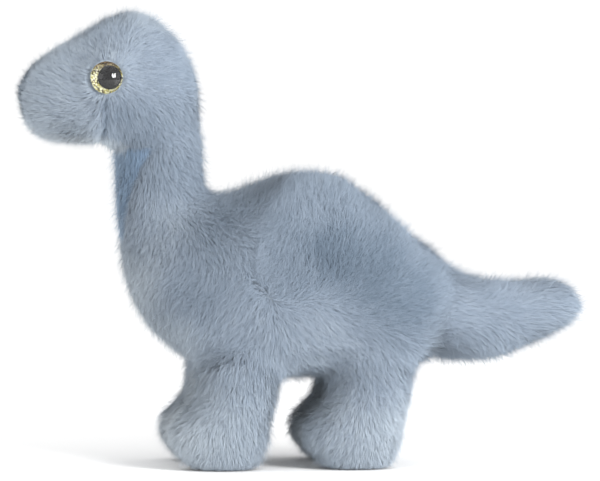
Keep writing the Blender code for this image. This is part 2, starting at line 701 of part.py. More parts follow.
def eye_frame(loft, rows, starts, sign):
    """The eye's own frame: its seat on the head's surface, with +Z pointing out of the head."""
    neck_top = rows[starts["head"]]
    x = neck_top[0] - EYE_ALONG_HEAD * HEAD_LENGTH
    z = neck_top[3] + JAW_RAISE + EYE_UP_HEAD * HEAD_HEIGHT
    u_range = [loft.knots[starts["head"]], loft.length]
    angle_range = [EYE_SEARCH_EDGE, math.pi - EYE_SEARCH_EDGE]
    last = EYE_SEARCH_STEPS - 1
    for _ in range(EYE_SEARCH_ROUNDS):
        u, angle = np.meshgrid(np.linspace(*u_range, EYE_SEARCH_STEPS),
                               np.linspace(*angle_range, EYE_SEARCH_STEPS), indexing="ij")
        off = loft.surface(u, angle)[..., [0, 2]] - (x, z)
        i, j = np.unravel_index(np.argmin((off**2).sum(axis=-1)), u.shape)
        u_range = [u[max(i - 1, 0), j], u[min(i + 1, last), j]]
        angle_range = [angle[i, max(j - 1, 0)], angle[i, min(j + 1, last)]]
    best_u, best_angle = u[i:i + 1, j], sign * angle[i:i + 1, j]
    seat = Vector(loft.surface(best_u, best_angle)[0])
    out = Vector(loft.normal(best_u, best_angle)[0])
    back = Vector((1, 0, 0))
    along = (back - out * back.dot(out)).normalized()
    up = out.cross(along)
    turn = Matrix((along, up, out)).transposed()
    return Matrix.Translation(seat) @ turn.to_4x4()


def add_eye(loft, rows, starts, side, pivot, cheek, materials):
    """One glitter eye, its post and washer, and the openings they need."""
    place = eye_frame(loft, rows, starts, SIDES[side])
    radius = EYE_DIAMETER / 2
    post, washer = POST_DIAMETER / 2, WASHER_DIAMETER / 2
    floor = -EYE_SEAT_DEPTH
    flange = floor + EYE_GAP
    iris = flange + FLANGE_THICKNESS + EYE_GAP
    pupil = iris + DISC_THICKNESS + EYE_GAP
    dome = pupil + DISC_THICKNESS + EYE_GAP
    turned(f"eye_post_{side}",
           [(0, flange - POST_LENGTH), (post * POST_TIP_SHARE, flange - POST_LENGTH),
            (post, flange - POST_LENGTH + POST_TAPER), (post, flange), (radius, flange),
            (radius, flange + FLANGE_THICKNESS), (0, flange + FLANGE_THICKNESS)],
           place, pivot, materials["black"])
    turned(f"eye_iris_{side}",
           [(0, iris), (radius - EYE_GAP, iris), (radius - EYE_GAP, iris + DISC_THICKNESS),
            (0, iris + DISC_THICKNESS)], place, pivot, materials["iris"])
    shifted = place @ Matrix.Translation((PUPIL_SHIFT, 0, 0))
    turned(f"eye_pupil_{side}",
           [(0, pupil), (PUPIL_DIAMETER / 2, pupil), (PUPIL_DIAMETER / 2, pupil + DISC_THICKNESS),
            (0, pupil + DISC_THICKNESS)], shifted, pivot, materials["black"])
    sphere = (radius**2 + DOME_RISE**2) / (2 * DOME_RISE)
    half_angle = math.asin(radius / sphere)
    arc = [(sphere * math.sin(half_angle * t), dome + DOME_EDGE + DOME_RISE - sphere
            + sphere * math.cos(half_angle * t)) for t in (1, 0.8, 0.6, 0.4, 0.2)]
    turned(f"eye_dome_{side}",
           [(0, dome), (radius, dome), *arc, (0, dome + DOME_EDGE + DOME_RISE)],
           place, pivot, materials["clear"])
    # The washer is pressed onto the post behind the backing cloth, clear of the panel's curved back.
    sag = washer**2 / HEAD_WIDTH
    top = -PELT_THICKNESS - sag - 2 * EYE_GAP
    turned(f"eye_washer_{side}",
           [(post + EYE_GAP, top - WASHER_THICKNESS), (washer, top - WASHER_THICKNESS),
            (washer, top), (post + EYE_GAP, top)], place, pivot, materials["washer"])

    outside = DOME_RISE + 2 * PELT_THICKNESS
    deep = flange - POST_LENGTH - POST_TAPER
    pocket = washer + WASHER_POCKET_GAP
    seat = turned(f"eye_seat_cutter_{side}",
                  [(0, deep), (post + EYE_GAP, deep), (post + EYE_GAP, floor),
                   (radius + EYE_GAP, floor), (radius + EYE_GAP, outside), (0, outside)],
                  place, pivot, materials["clear"])
    hollow = turned(f"washer_pocket_cutter_{side}",
                    [(0, deep), (pocket, deep), (pocket, outside), (0, outside)],
                    place, pivot, materials["clear"])
    filling = bpy.data.objects["head_filling"]
    for cutter, target in ((seat, cheek), (hollow, filling)):
        cutter.hide_render = True
        cutter.display_type = "WIRE"
        cut = target.modifiers.new(cutter.name, "BOOLEAN")
        cut.operation = "DIFFERENCE"
        cut.solver = "EXACT"
        cut.object = cutter


def main():
    for item in list(bpy.data.objects):
        bpy.data.objects.remove(item)
    materials = {
        "pile": make_material("pile", PILE_BLUE, 0.95),
        "throat": make_material("throat_pile", THROAT_BLUE, 0.95),
        "filling": make_material("filling_fibre", FILLING_WHITE, 1.0),
        "iris": make_material("iris_gold", IRIS_GOLD, 0.3, 0.6),
        "black": make_material("eye_black", EYE_BLACK, 0.15),
        "washer": make_material("washer_white", WASHER_WHITE, 0.4),
        "clear": make_material("eye_clear", CLEAR, 0.03, 0.0, 1.0),
    }
    rows, starts, extent = body_rows()
    loft = Loft(rows[:, 0:2], rows[:, 2:4], rows[:, 4], rows[:, 5])
    pivots, cheeks = add_body(loft, rows, starts, materials)
    add_legs(loft, extent, pivots["torso"], materials)
    for side, cheek in cheeks.items():
        add_eye(loft, rows, starts, side, pivots["head"], cheek, materials)


main()
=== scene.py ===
import json
import math

import bmesh
import bpy
import numpy as np
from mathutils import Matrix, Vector
from mathutils.bvhtree import BVHTree
from mathutils.kdtree import KDTree


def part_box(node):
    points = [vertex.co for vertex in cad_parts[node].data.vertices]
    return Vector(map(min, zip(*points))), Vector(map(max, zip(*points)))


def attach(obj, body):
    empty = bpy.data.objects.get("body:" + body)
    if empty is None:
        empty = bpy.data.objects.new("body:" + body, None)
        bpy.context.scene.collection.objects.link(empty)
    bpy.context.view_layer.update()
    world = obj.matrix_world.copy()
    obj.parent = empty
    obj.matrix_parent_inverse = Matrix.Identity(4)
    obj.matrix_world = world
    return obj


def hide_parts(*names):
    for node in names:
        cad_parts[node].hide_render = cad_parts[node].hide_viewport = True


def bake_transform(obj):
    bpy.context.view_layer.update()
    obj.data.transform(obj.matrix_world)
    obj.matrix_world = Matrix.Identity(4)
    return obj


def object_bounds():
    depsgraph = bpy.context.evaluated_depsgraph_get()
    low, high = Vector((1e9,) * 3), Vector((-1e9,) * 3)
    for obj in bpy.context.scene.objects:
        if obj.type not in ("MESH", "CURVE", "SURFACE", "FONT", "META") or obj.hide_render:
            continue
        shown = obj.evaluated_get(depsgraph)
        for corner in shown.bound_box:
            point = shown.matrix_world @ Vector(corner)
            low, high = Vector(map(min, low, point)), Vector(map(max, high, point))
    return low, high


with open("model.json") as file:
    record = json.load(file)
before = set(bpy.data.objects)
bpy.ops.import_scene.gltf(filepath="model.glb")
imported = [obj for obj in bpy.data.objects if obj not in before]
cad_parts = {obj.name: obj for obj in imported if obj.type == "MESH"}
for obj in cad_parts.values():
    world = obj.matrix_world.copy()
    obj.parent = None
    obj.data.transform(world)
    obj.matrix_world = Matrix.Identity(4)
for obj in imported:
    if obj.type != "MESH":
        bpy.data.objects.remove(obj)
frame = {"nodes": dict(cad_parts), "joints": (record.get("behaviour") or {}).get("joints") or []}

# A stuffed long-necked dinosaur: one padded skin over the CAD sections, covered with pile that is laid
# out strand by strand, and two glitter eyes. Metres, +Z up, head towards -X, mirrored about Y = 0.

MM = 0.001
FAR = 1.0  # metres, well past anything on the toy
CAD_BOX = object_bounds()
NODES = frame["nodes"]
JOINTS = {joint["name"]: joint for joint in frame["joints"]}
SIDES = ("left", "right")
LEGS = [f"leg_{end}_{side}" for end in ("front", "hind") for side in SIDES]
BODIES = ["torso", "neck", "head", "tail", *LEGS]
RANDOM = np.random.default_rng(20)

# Skin
BODY_GROWTH = 4.5 * MM  # how far sections swell so that their gaps close
LEG_GROWTH = 3.5 * MM
VOXEL = 2.2 * MM
SOLE_HEIGHT = 0.4 * MM
SKIN_INSET = 3.4 * MM  # the pile's dense part lies between the skin and the CAD surface
EYE_DEPTH = 12 * MM  # how far along its axis an eye's surroundings reach
EYE_MARGIN = 2.5 * MM  # the skin is tucked under an eye to this far outside its rim
EYE_TUCK = 1.9 * MM
EYE_EASE = 10 * MM  # round an eye and near the soles the inset fades away over this distance
SOLE_EASE = 4 * MM
SEAM_DIP = 0.9 * MM
SEAM_DIP_REACH = 3 * MM

# Cloth
CLOTH_VOXEL = 5 * MM
CLOTH_PRESSURE = 4.0
CLOTH_FRAMES = 20
CLOTH_CAP = 1.8 * MM
CLOTH_HOLD = 4 * MM  # how close to a seam, a sole or an eye the cloth is held

# Pile
STRANDS_PER_AREA = 5.2 / MM**2
CLUMPS_PER_AREA = 0.6 / MM**2
CLUMPING = 0.24
LOOSE_SHARE = 0.30  # strands that leave their clump and stand up more
LOOSE_WIDTH = 0.6
TUFT_TURN = 0.3  # how far clumps turn aside, each its own way
MOST_STRANDS = 60000  # in one piece
STRAND_WIDTH = 0.26 * MM
RIBBON_TURN = 0.25  # radians a strand is turned about itself; more shows dark backs at outlines
LENGTHS = {"torso": 9.5, "neck": 8.5, "head": 8.0, "tail": 10.0, "leg": 8.5}  # mm
MUZZLE_LENGTH, SOLE_LENGTH, INNER_LEG_LENGTH, EYE_FUR_LENGTH = 6.5, 2.5, 5.0, 3.5  # mm
SEAM_FUR_REACH = 2.5 * MM
DART = ((0, -9), (0.4, -30), (1.8, -35), (15, -27))  # mm in x and z from the eye's middle
DART_REACH = 1.1 * MM
FLOOR_GAP = 0.3 * MM
EYE_FLOW_REACH = 9 * MM
EYE_FLOW_PULL = 1.6  # how strongly the pile turns away from an eye
FLOW_SOFTNESS = 4 * MM  # how near a guide its own direction gives way to its neighbours'
FLOW_WANDER, FLOW_WANDER_SIZE = 0.25, 9 * MM
REST_LIFT = 0.55  # how far a strand stands up, against lying along the skin
OUTWARD_LIFT, INWARD_LIFT, INWARD_START = 0.35, 0.3, 0.3  # where the flow leaves or enters the skin
LOOSE_LIFT = 0.7
TIP_DROP = 0.15
TIP_NOISE, LOOSE_NOISE = 0.2, 0.25
LOOSE_EXTRA = 0.45  # how much longer loose strands can be
LENGTH_RANGE, TUFT_LENGTH_RANGE = (0.75, 1.12), (0.85, 1.3)
# Painted light: the crown, chin and belly strips and the legs' inner sides get a lighter tone to lift the
# shade that falls on them.
GROUP_PAINTED_LIGHT = {"crown": 0.06, "chin": 0.2, "belly": 0.1}
INNER_LEG_PAINTED_LIGHT = 0.3
TONE_LIMITS = (0.05, 0.98)
EYE_CLEARANCE = 0.3 * MM  # no strand is rooted nearer an eye than this

# Zones: how far before and after a hinge the skin bends, and which way
BENDS = {
    "neck_bend": ((-0.505, 0, 0.863), -10 * MM, 10 * MM),
    "head_nod": ((-0.14, 0, 0.99), -13 * MM, 4 * MM),
    "tail_wag": ((0.985, 0, -0.175), -6 * MM, 14 * MM),
}
LEG_BEND_LENGTH = 14 * MM

# Which way the pile lies: place (shares of length from the nose and of height), direction (x, z), tone.
# The tone is partly the pile's own blue-grey and partly painted light and shade: raised under the jaw and
# on the chest where shade falls, lowered on the flank's middle where the light falls strongest.
FLOW = np.array([
    (.02, .875, -.5, .85, .66), (.01, .82, -.95, .3, .66), (.02, .745, -.9, -.4, .68),
    (.05, .83, -.85, .5, .60), (.06, .90, -.45, .9, .62), (.06, .69, -.5, -.85, .88),
    (.10, .78, -.95, .1, .60), (.10, .84, -.8, .6, .58), (.10, .94, -.2, .98, .58),
    (.19, .99, .5, .85, .59), (.15, .92, 0, 1, .54), (.215, .86, 1, .05, .47),
    (.28, .935, .95, .3, .47), (.30, .855, 1, -.1, .42), (.175, .79, .5, -.85, .38),
    (.29, .78, .5, -.85, .46), (.12, .71, -.4, -.9, .88), (.165, .70, .2, -1, .66),
    (.215, .755, .3, -.95, .40), (.25, .655, .05, -1, .42), (.315, .655, .3, -.95, .42),
    (.25, .545, .1, -1, .54), (.195, .415, -.15, -1, .74), (.34, .525, .35, -.6, .36),
    (.32, .395, -.3, -.9, .38), (.27, .30, -.1, -1, .66), (.375, .585, .7, .15, .40),
    (.41, .62, .35, .9, .46), (.50, .64, .35, .93, .44), (.625, .57, .6, .8, .39),
    (.50, .545, .15, .95, .42), (.47, .42, 0, .9, .32), (.535, .46, .1, .9, .18),
    (.61, .43, .4, .8, .22), (.695, .47, .7, .65, .40), (.66, .37, .5, .5, .28),
    (.50, .305, .6, -.5, .52), (.50, .225, .8, -.5, .54), (.39, .33, -.6, -.6, .48),
    (.375, .22, -.1, -1, .50), (.315, .155, -.35, -.95, .60), (.27, .09, -.6, -.8, .76),
    (.43, .11, .35, -.95, .57), (.625, .22, .1, -1, .48), (.535, .13, -.3, -.95, .64),
    (.50, .08, -.6, -.8, .66), (.67, .11, .35, -.95, .68), (.77, .35, .9, .1, .48),
    (.857, .405, .8, .6, .47), (.84, .27, .8, -.6, .47), (.91, .36, 1, 0, .48),
    (.993, .375, 1, .1, .50),
])


# Meshes ------------------------------------------------------------------------------------------
def unit(vectors):
    return vectors / np.maximum(np.linalg.norm(vectors, axis=-1, keepdims=True), 1e-12)


def mesh_arrays(mesh):
    """A mesh's points and triangles."""
    points = np.empty(3 * len(mesh.vertices))
    mesh.vertices.foreach_get("co", points)
    mesh.calc_loop_triangles()
    tris = np.empty(3 * len(mesh.loop_triangles), np.int32)
    mesh.loop_triangles.foreach_get("vertices", tris)
    return points.reshape(-1, 3), tris.reshape(-1, 3)


def vertex_normals(points, tris):
    a, b, c = (points[tris[:, k]] for k in range(3))
    face = np.cross(b - a, c - a)
    total = np.zeros_like(points)
    for k in range(3):
        np.add.at(total, tris[:, k], face)
    return unit(total)


def tri_edges(tris):
    pairs = np.sort(np.concatenate([tris[:, [0, 1]], tris[:, [1, 2]], tris[:, [2, 0]]]), axis=1)
    return np.unique(pairs, axis=0)


def make_mesh(name, points, tris, uv=None, normals=None):
    mesh = bpy.data.meshes.new(name)
    mesh.vertices.add(len(points))
    mesh.vertices.foreach_set("co", np.ascontiguousarray(points, float).ravel())
    mesh.loops.add(tris.size)
    mesh.loops.foreach_set("vertex_index", np.ascontiguousarray(tris, np.int32).ravel())
    mesh.polygons.add(len(tris))
    mesh.polygons.foreach_set("loop_start", np.arange(0, tris.size, 3, dtype=np.int32))
    mesh.update(calc_edges=True)
    mesh.polygons.foreach_set("use_smooth", np.ones(len(tris), bool))
    if uv is not None:
        layer = mesh.uv_layers.new(name="OFBake")
        layer.data.foreach_set("uv", np.ascontiguousarray(uv[tris.ravel()], float).ravel())
    if normals is not None:
        mesh.normals_split_custom_set_from_vertices(normals.tolist())
    return mesh


def add_mesh(name, points, tris, material, uv=None, normals=None):
    mesh = make_mesh(name, points, tris, uv, normals)
    mesh.materials.append(material)
    item = bpy.data.objects.new(name, mesh)
    bpy.context.collection.objects.link(item)
    return item


def spread(points, edges, rounds, weights=(0.5, -0.52)):
    """Smooths values held at the points of a mesh; the second weight undoes most of the shrinking."""
    count = np.maximum(np.bincount(edges.ravel(), minlength=len(points)), 1)[:, None]
    for _ in range(rounds):
        for weight in weights:
            total = np.zeros_like(points)
            np.add.at(total, edges[:, 0], points[edges[:, 1]])
            np.add.at(total, edges[:, 1], points[edges[:, 0]])
            points = points + weight * (total / count - points)
    return points


def remeshed(points, tris, voxel):
    item = bpy.data.objects.new("remesh_source", make_mesh("remesh_source", points, tris))
    bpy.context.collection.objects.link(item)
    remesh = item.modifiers.new("Remesh", "REMESH")
    remesh.mode = "VOXEL"
    remesh.voxel_size = voxel
    shape = bpy.data.meshes.new_from_object(
        item.evaluated_get(bpy.context.evaluated_depsgraph_get()))
    bpy.data.objects.remove(item)
    arrays = mesh_arrays(shape)
    bpy.data.meshes.remove(shape)
    return arrays


def welded(node):
    """A CAD node's points, triangles and normals, with its split points merged."""
    work = bmesh.new()
    work.from_mesh(NODES[node].data)
    bmesh.ops.remove_doubles(work, verts=work.verts, dist=1e-6)
    bmesh.ops.triangulate(work, faces=work.faces)
    work.normal_update()
    reach = np.array([min(v.calc_shell_factor(), 1.8) for v in work.verts])
    points = np.array([v.co for v in work.verts])
    tris = np.array([[v.index for v in f.verts] for f in work.faces])
    normals = np.array([v.normal for v in work.verts]) * reach[:, None]
    work.free()
    return points, tris, normals


def joined(shapes):
    points, tris, start = [], [], 0
    for shape in shapes:
        points.append(shape[0])
        tris.append(shape[1] + start)
        start += len(shape[0])
    return np.concatenate(points), np.concatenate(tris)


def tree_of(nodes):
    points, tris = joined([SHAPES[n] for n in nodes])
    return BVHTree.FromPolygons(points.tolist(), tris.tolist())


def distances(tree, points):
    return np.array([tree.find_nearest(p)[3] for p in points.tolist()])


# The frame's panels --------------------------------------------------------------------------------
def body_of(node):
    if node.startswith("leg_"):
        return node.rsplit("_", 1)[0]
    if node == "belly_gusset":
        return "torso"
    if node == "throat_panel":
        return "neck"
    return "head" if node in ("chin_panel", "head_gusset") else node.split("_")[0]


SOFT = [n for n in NODES if not n.startswith("eye_")]
PANELS = [n for n in SOFT if not n.endswith("_filling")]
SHAPES = {n: welded(n) for n in SOFT}
SHAPES.update({n: welded(n) for n in NODES if n.startswith("eye_post")})


def cloth_group(node):
    """The cut of cloth a panel belongs to, so a leg's outer side goes with the flank above it."""
    if node.startswith("leg_"):
        return node.split("_")[2] if node.endswith("_outer") else "belly"
    strips = {"belly_gusset": "belly", "head_gusset": "crown", "chin_panel": "chin",
              "throat_panel": "throat"}
    return strips.get(node) or node.rsplit("_", 1)[1]


GROUPS = sorted({cloth_group(n) for n in PANELS})
GROUP_TREES = [tree_of([n for n in PANELS if cloth_group(n) == g]) for g in GROUPS]
BODY_TREES = [tree_of([n for n in PANELS if body_of(n) == b]) for b in BODIES]
PANEL_TREE = tree_of(PANELS)
BELLY_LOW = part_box("torso_side_left")[0].z


class Eye:
    """Where one eye sits: its axis, and the heights of its discs along it."""

    def __init__(self, side):
        self.side = side
        self.points = {part: welded(f"eye_{part}_{side}")[0]
                       for part in ("dome", "iris", "pupil", "washer")}
        low, high = self.points["washer"], self.points["dome"]
        self.out = unit(self.middle(high) - self.middle(low))
        self.centre = self.middle(self.points["iris"])
        self.radius = self.reach("dome")
        back = np.array([1.0, 0, 0])
        self.along = unit(back - self.out * (back @ self.out))
        self.up = np.cross(self.out, self.along)

    @staticmethod
    def middle(points):
        return 0.5 * (points.min(axis=0) + points.max(axis=0))

    def heights(self, part):
        over = (self.points[part] - self.centre) @ self.out
        return over.min(), over.max()

    def reach(self, part):
        off = self.points[part] - self.points[part].mean(axis=0)
        return np.linalg.norm(off - np.outer(off @ self.out, self.out), axis=1).max()

    def polar(self, points):
        """Height along the axis and distance from it."""
        off = points - self.centre
        height = off @ self.out
        return height, np.linalg.norm(off - height[:, None] * self.out, axis=1)


EYES = [Eye(side) for side in SIDES]


def eye_distance(points):
    """Distance from the nearest eye's rim, inside it negative, on the eye's own side of the head."""
    nearest = np.full(len(points), FAR)
    for eye in EYES:
        height, away = eye.polar(points)
        away = np.where(np.abs(height) < EYE_DEPTH, away - eye.radius, FAR)
        nearest = np.minimum(nearest, away)
    return nearest


def seam_distance(points):
    """Distance to the second nearest cut of cloth, and which cut is nearest."""
    away = np.stack([distances(tree, points) for tree in GROUP_TREES])
    order = np.argsort(away, axis=0)
    return np.take_along_axis(away, order[1:2], axis=0)[0], order[0]


# Skin --------------------------------------------------------------------------------------------
def make_skin():
    shapes = []
    for node, (points, tris, normals) in SHAPES.items():
        growth = LEG_GROWTH if node.startswith("leg_") else BODY_GROWTH
        shapes.append((points + normals * growth, tris))
    points, tris = remeshed(*joined(shapes), VOXEL)
    edges = tri_edges(tris)
    points = spread(points, edges, 3)
    back = spread(distances(PANEL_TREE, points)[:, None], edges, 2, (0.5,))
    ease = np.clip(eye_distance(points) / EYE_EASE, 0, 1)[:, None]
    ease *= np.clip(points[:, 2:3] / SOLE_EASE, 0, 1)
    back = np.minimum(back, BODY_GROWTH + VOXEL) + SKIN_INSET * ease * ease * (3 - 2 * ease)
    points = points - vertex_normals(points, tris) * back
    points, tris = remeshed(points, tris, VOXEL)  # clears the folds that this leaves in tight places
    return spread(points, tri_edges(tris), 8), tris


def swollen(points, tris):
    """Lets the stuffing push the skin out between its seams, as a short cloth simulation."""
    coarse, coarse_tris = remeshed(points, tris, CLOTH_VOXEL)
    item = bpy.data.objects.new("cloth_source", make_mesh("cloth_source", coarse, coarse_tris))
    bpy.context.collection.objects.link(item)
    held = np.minimum(seam_distance(coarse)[0], np.abs(eye_distance(coarse))) < CLOTH_HOLD
    held |= coarse[:, 2] < CLOTH_HOLD
    group = item.vertex_groups.new(name="held")
    group.add(np.flatnonzero(held).tolist(), 1.0, "REPLACE")
    cloth = item.modifiers.new("Cloth", "CLOTH")
    cloth.settings.vertex_group_mass = "held"
    cloth.settings.use_pressure = True
    cloth.settings.uniform_pressure_force = CLOTH_PRESSURE
    cloth.settings.effector_weights.gravity = 0
    cloth.point_cache.frame_start = 1
    cloth.point_cache.frame_end = CLOTH_FRAMES
    scene = bpy.context.scene
    for number in range(1, CLOTH_FRAMES + 1):
        scene.frame_set(number)
    result = item.evaluated_get(bpy.context.evaluated_depsgraph_get()).data
    after = np.empty(3 * len(coarse))
    result.vertices.foreach_get("co", after)
    bpy.data.objects.remove(item)
    scene.frame_set(1)
    move = after.reshape(-1, 3) - coarse
    size = np.linalg.norm(move, axis=1, keepdims=True)
    move *= np.minimum(1, CLOTH_CAP / np.maximum(size, 1e-9))
    tree = KDTree(len(coarse))
    for k, place in enumerate(coarse.tolist()):
        tree.insert(place, k)
    tree.balance()
    gained = np.empty_like(points)
    for k, place in enumerate(points.tolist()):
        found = tree.find_n(place, 4)
        weights = np.array([1 / (f[2] + 1 * MM) for f in found])
        gained[k] = weights @ move[[f[1] for f in found]] / weights.sum()
    return points + gained


def finished_skin():
    points, tris = make_skin()
    points = swollen(points, tris)
    normals = vertex_normals(points, tris)
    seam = seam_distance(points)[0]
    points = points - normals * (SEAM_DIP * np.exp(-(seam / SEAM_DIP_REACH) ** 2))[:, None]
    for eye in EYES:
        height, away = eye.polar(points)
        near = (away < eye.radius + EYE_MARGIN) & (np.abs(height) < EYE_DEPTH)
        sunk = np.clip((eye.radius + EYE_MARGIN - away) / (2 * MM), 0, 1)
        drop = np.maximum(height + EYE_TUCK, 0) * sunk * near
        points = points - drop[:, None] * eye.out
    points[:, 2] = np.maximum(points[:, 2], SOLE_HEIGHT)
    return points, tris


# Zones -------------------------------------------------------------------------------------------
def bend_of(joint):
    """Where a joint's bend starts and ends."""
    hinge = np.array(JOINTS[joint]["pos_m"])
    if joint in BENDS:
        way, before, after = BENDS[joint]
        way = np.array(way) / np.linalg.norm(way)
        return hinge + way * before, hinge + way * after
    top = BELLY_LOW - 0.5 * MM
    return (np.array([hinge[0], hinge[1], top]),
            np.array([hinge[0], hinge[1], top - LEG_BEND_LENGTH]))


LINKS = {"neck": ("neck_bend", "torso"), "head": ("head_nod", "neck"), "tail": ("tail_wag", "torso")}
LINKS.update({leg: (f"{leg}_swing", "torso") for leg in LEGS})
CHAIN_CHILDREN = {"torso": ("neck", "tail"), "neck": ("head",)}
SPANS = {body: bend_of(LINKS[body][0]) for body in LINKS}
ZONES = BODIES + [f"{body}_bend" for body in LINKS]


def share(points, body):
    start, end = SPANS[body]
    way = end - start
    return (points - start) @ way / (way @ way)


def zones_at(points, labels):
    """The zone of each point: a body's rigid part, or the bend that joins a body to its parent."""
    zone = labels.copy()
    for index, body in enumerate(BODIES):
        mine = labels == index
        if body in LINKS:
            t = share(points, body)
            parent = BODIES.index(LINKS[body][1])
            zone[mine & (t <= 0)] = parent
            zone[mine & (t > 0) & (t < 1)] = ZONES.index(f"{body}_bend")
        for child in CHAIN_CHILDREN.get(body, ()):
            t = share(points, child)
            zone[mine & (t >= 1)] = BODIES.index(child)
            zone[mine & (t > 0) & (t < 1)] = ZONES.index(f"{child}_bend")
    return zone


def face_zones(tris, zone):
    corner = zone[tris]
    result = corner.max(axis=1)  # bends come after bodies, so a mixed face goes to its bend
    mixed = (corner.min(axis=1) != result) & (result < len(BODIES))
    for k in np.flatnonzero(mixed):
        child = BODIES[result[k]]
        result[k] = ZONES.index(f"{child}_bend") if child in LINKS else result[k]
    return result


def settle(item, zone):
    """Parents a finished piece to its body's empty, or bakes the placement of a bend's piece into its
    points.
    """
    name = ZONES[zone]
    if zone < len(BODIES):
        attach(item, name)
    else:
        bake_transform(item)
    return item


# Materials ---------------------------------------------------------------------------------------
def new_material(name, roughness, **plain):
    material = bpy.data.materials.new(name)
    material.use_nodes = True
    tree = material.node_tree
    shader = tree.nodes["Principled BSDF"]
    shader.inputs["Roughness"].default_value = roughness
    for socket, value in plain.items():
        shader.inputs[socket.replace("_", " ")].default_value = value
    return material, tree, shader


def add_node(tree, kind, links=None, **values):
    node = tree.nodes.new(kind)
    for name, value in values.items():
        if hasattr(node, name):
            setattr(node, name, value)
        else:
            node.inputs[name.replace("_", " ")].default_value = value
    for socket, source in (links or {}).items():
        tree.links.new(source, node.inputs[socket])
    return node


def ramp(tree, source, stops):
    node = add_node(tree, "ShaderNodeValToRGB", {"Fac": source})
    elements = node.color_ramp.elements
    while len(elements) < len(stops):
        elements.new(0.5)
    for element, (place, colour) in zip(elements, stops):
        element.position = place
        element.color = (*colour, 1)
    return node.outputs["Color"]


def pile_material(name, shades):
    """Pile: its tone runs across the UV map's u, and along v a painted shade that darkens each strand
    towards its root, deep in the pile.
    """
    material, tree, shader = new_material(
        name, 0.85, Sheen_Weight=0.28, Sheen_Roughness=0.5, Specular_IOR_Level=0.25)
    shader.inputs["Sheen Tint"].default_value = (*shades[-1], 1)
    place = add_node(tree, "ShaderNodeUVMap", uv_map="OFBake")
    split = add_node(tree, "ShaderNodeSeparateXYZ", {"Vector": place.outputs["UV"]})
    tone = ramp(tree, split.outputs["X"], list(zip((0.25, 0.5, 0.75, 1.0), shades)))
    # Painted shade: strands are darker towards their roots, where shade falls deep in the pile.
    along = ramp(tree, split.outputs["Y"],
                 [(0.0, (0.80,) * 3), (0.35, (0.93,) * 3), (0.75, (1.0,) * 3)])
    mix = add_node(tree, "ShaderNodeMix", data_type="RGBA", blend_type="MULTIPLY")
    mix.inputs["Factor"].default_value = 1
    tree.links.new(tone, mix.inputs["A"])
    tree.links.new(along, mix.inputs["B"])
    tree.links.new(mix.outputs["Result"], shader.inputs["Base Color"])
    return material


def backing_material(name, dark, light):
    """The cloth and pile roots seen between strands."""
    material, tree, shader = new_material(name, 0.95, Sheen_Weight=0.2)
    place = add_node(tree, "ShaderNodeTexCoord").outputs["Object"]
    noise = add_node(tree, "ShaderNodeTexNoise", {"Vector": place}, Scale=420.0, Detail=3.0)
    colour = ramp(tree, noise.outputs["Fac"], [(0.35, dark), (0.65, light)])
    tree.links.new(colour, shader.inputs["Base Color"])
    bump = add_node(tree, "ShaderNodeBump", {"Height": noise.outputs["Fac"]},
                    Strength=0.5, Distance=0.4 * MM)
    tree.links.new(bump.outputs["Normal"], shader.inputs["Normal"])
    return material


def glitter_material():
    material, tree, shader = new_material("eye_glitter", 0.32, Metallic=0.15)
    place = add_node(tree, "ShaderNodeTexCoord").outputs["Object"]
    cells = add_node(tree, "ShaderNodeTexVoronoi", {"Vector": place}, Scale=1700.0)
    grain = add_node(tree, "ShaderNodeSeparateXYZ", {"Vector": cells.outputs["Color"]})
    # The gold is the flakes' own colour; the spread from near-black to near-white flakes is painted glints
    # and painted shade.
    gold_and_glints = ramp(tree, grain.outputs["X"], [(0.0, (0.03, 0.02, 0.01)), (0.35, (0.16, 0.12, 0.02)),
                                           (0.5, (0.74, 0.68, 0.15)), (0.8, (1.0, 1.0, 0.70))])
    # Painted shade: the iris darkens to brown towards its top.
    height = add_node(tree, "ShaderNodeSeparateXYZ", {"Vector": place})
    middle_z = float(EYES[0].centre[2])
    painted_shade_band = add_node(tree, "ShaderNodeMapRange", {"Value": height.outputs["Z"]})
    painted_shade_band.inputs["From Min"].default_value = middle_z + 2 * MM
    painted_shade_band.inputs["From Max"].default_value = middle_z + 6.5 * MM
    painted_top_shade = ramp(tree, painted_shade_band.outputs["Result"], [(0.0, (1.0,) * 3), (1.0, (0.26, 0.17, 0.12))])
    mix = add_node(tree, "ShaderNodeMix", data_type="RGBA", blend_type="MULTIPLY")
    mix.inputs["Factor"].default_value = 1
    tree.links.new(gold_and_glints, mix.inputs["A"])
    tree.links.new(painted_top_shade, mix.inputs["B"])
    tree.links.new(mix.outputs["Result"], shader.inputs["Base Color"])
    bump = add_node(tree, "ShaderNodeBump", {"Height": grain.outputs["Y"]},
                    Strength=0.4, Distance=0.1 * MM)
    tree.links.new(bump.outputs["Normal"], shader.inputs["Normal"])
    return material


def moulded_material(name, colour, roughness, variation=0.15, **plain):
    """Moulded plastic with a faint mottle and orange peel."""
    material, tree, shader = new_material(name, roughness, **plain)
    place = add_node(tree, "ShaderNodeTexCoord").outputs["Object"]
    noise = add_node(tree, "ShaderNodeTexNoise", {"Vector": place}, Scale=900.0)
    dark = tuple(c * (1 - variation) for c in colour)
    tree.links.new(ramp(tree, noise.outputs["Fac"], [(0.4, dark), (0.6, colour)]),
                   shader.inputs["Base Color"])
    bump = add_node(tree, "ShaderNodeBump", {"Height": noise.outputs["Fac"]},
                    Strength=0.05, Distance=0.05 * MM)
    tree.links.new(bump.outputs["Normal"], shader.inputs["Normal"])
    return material


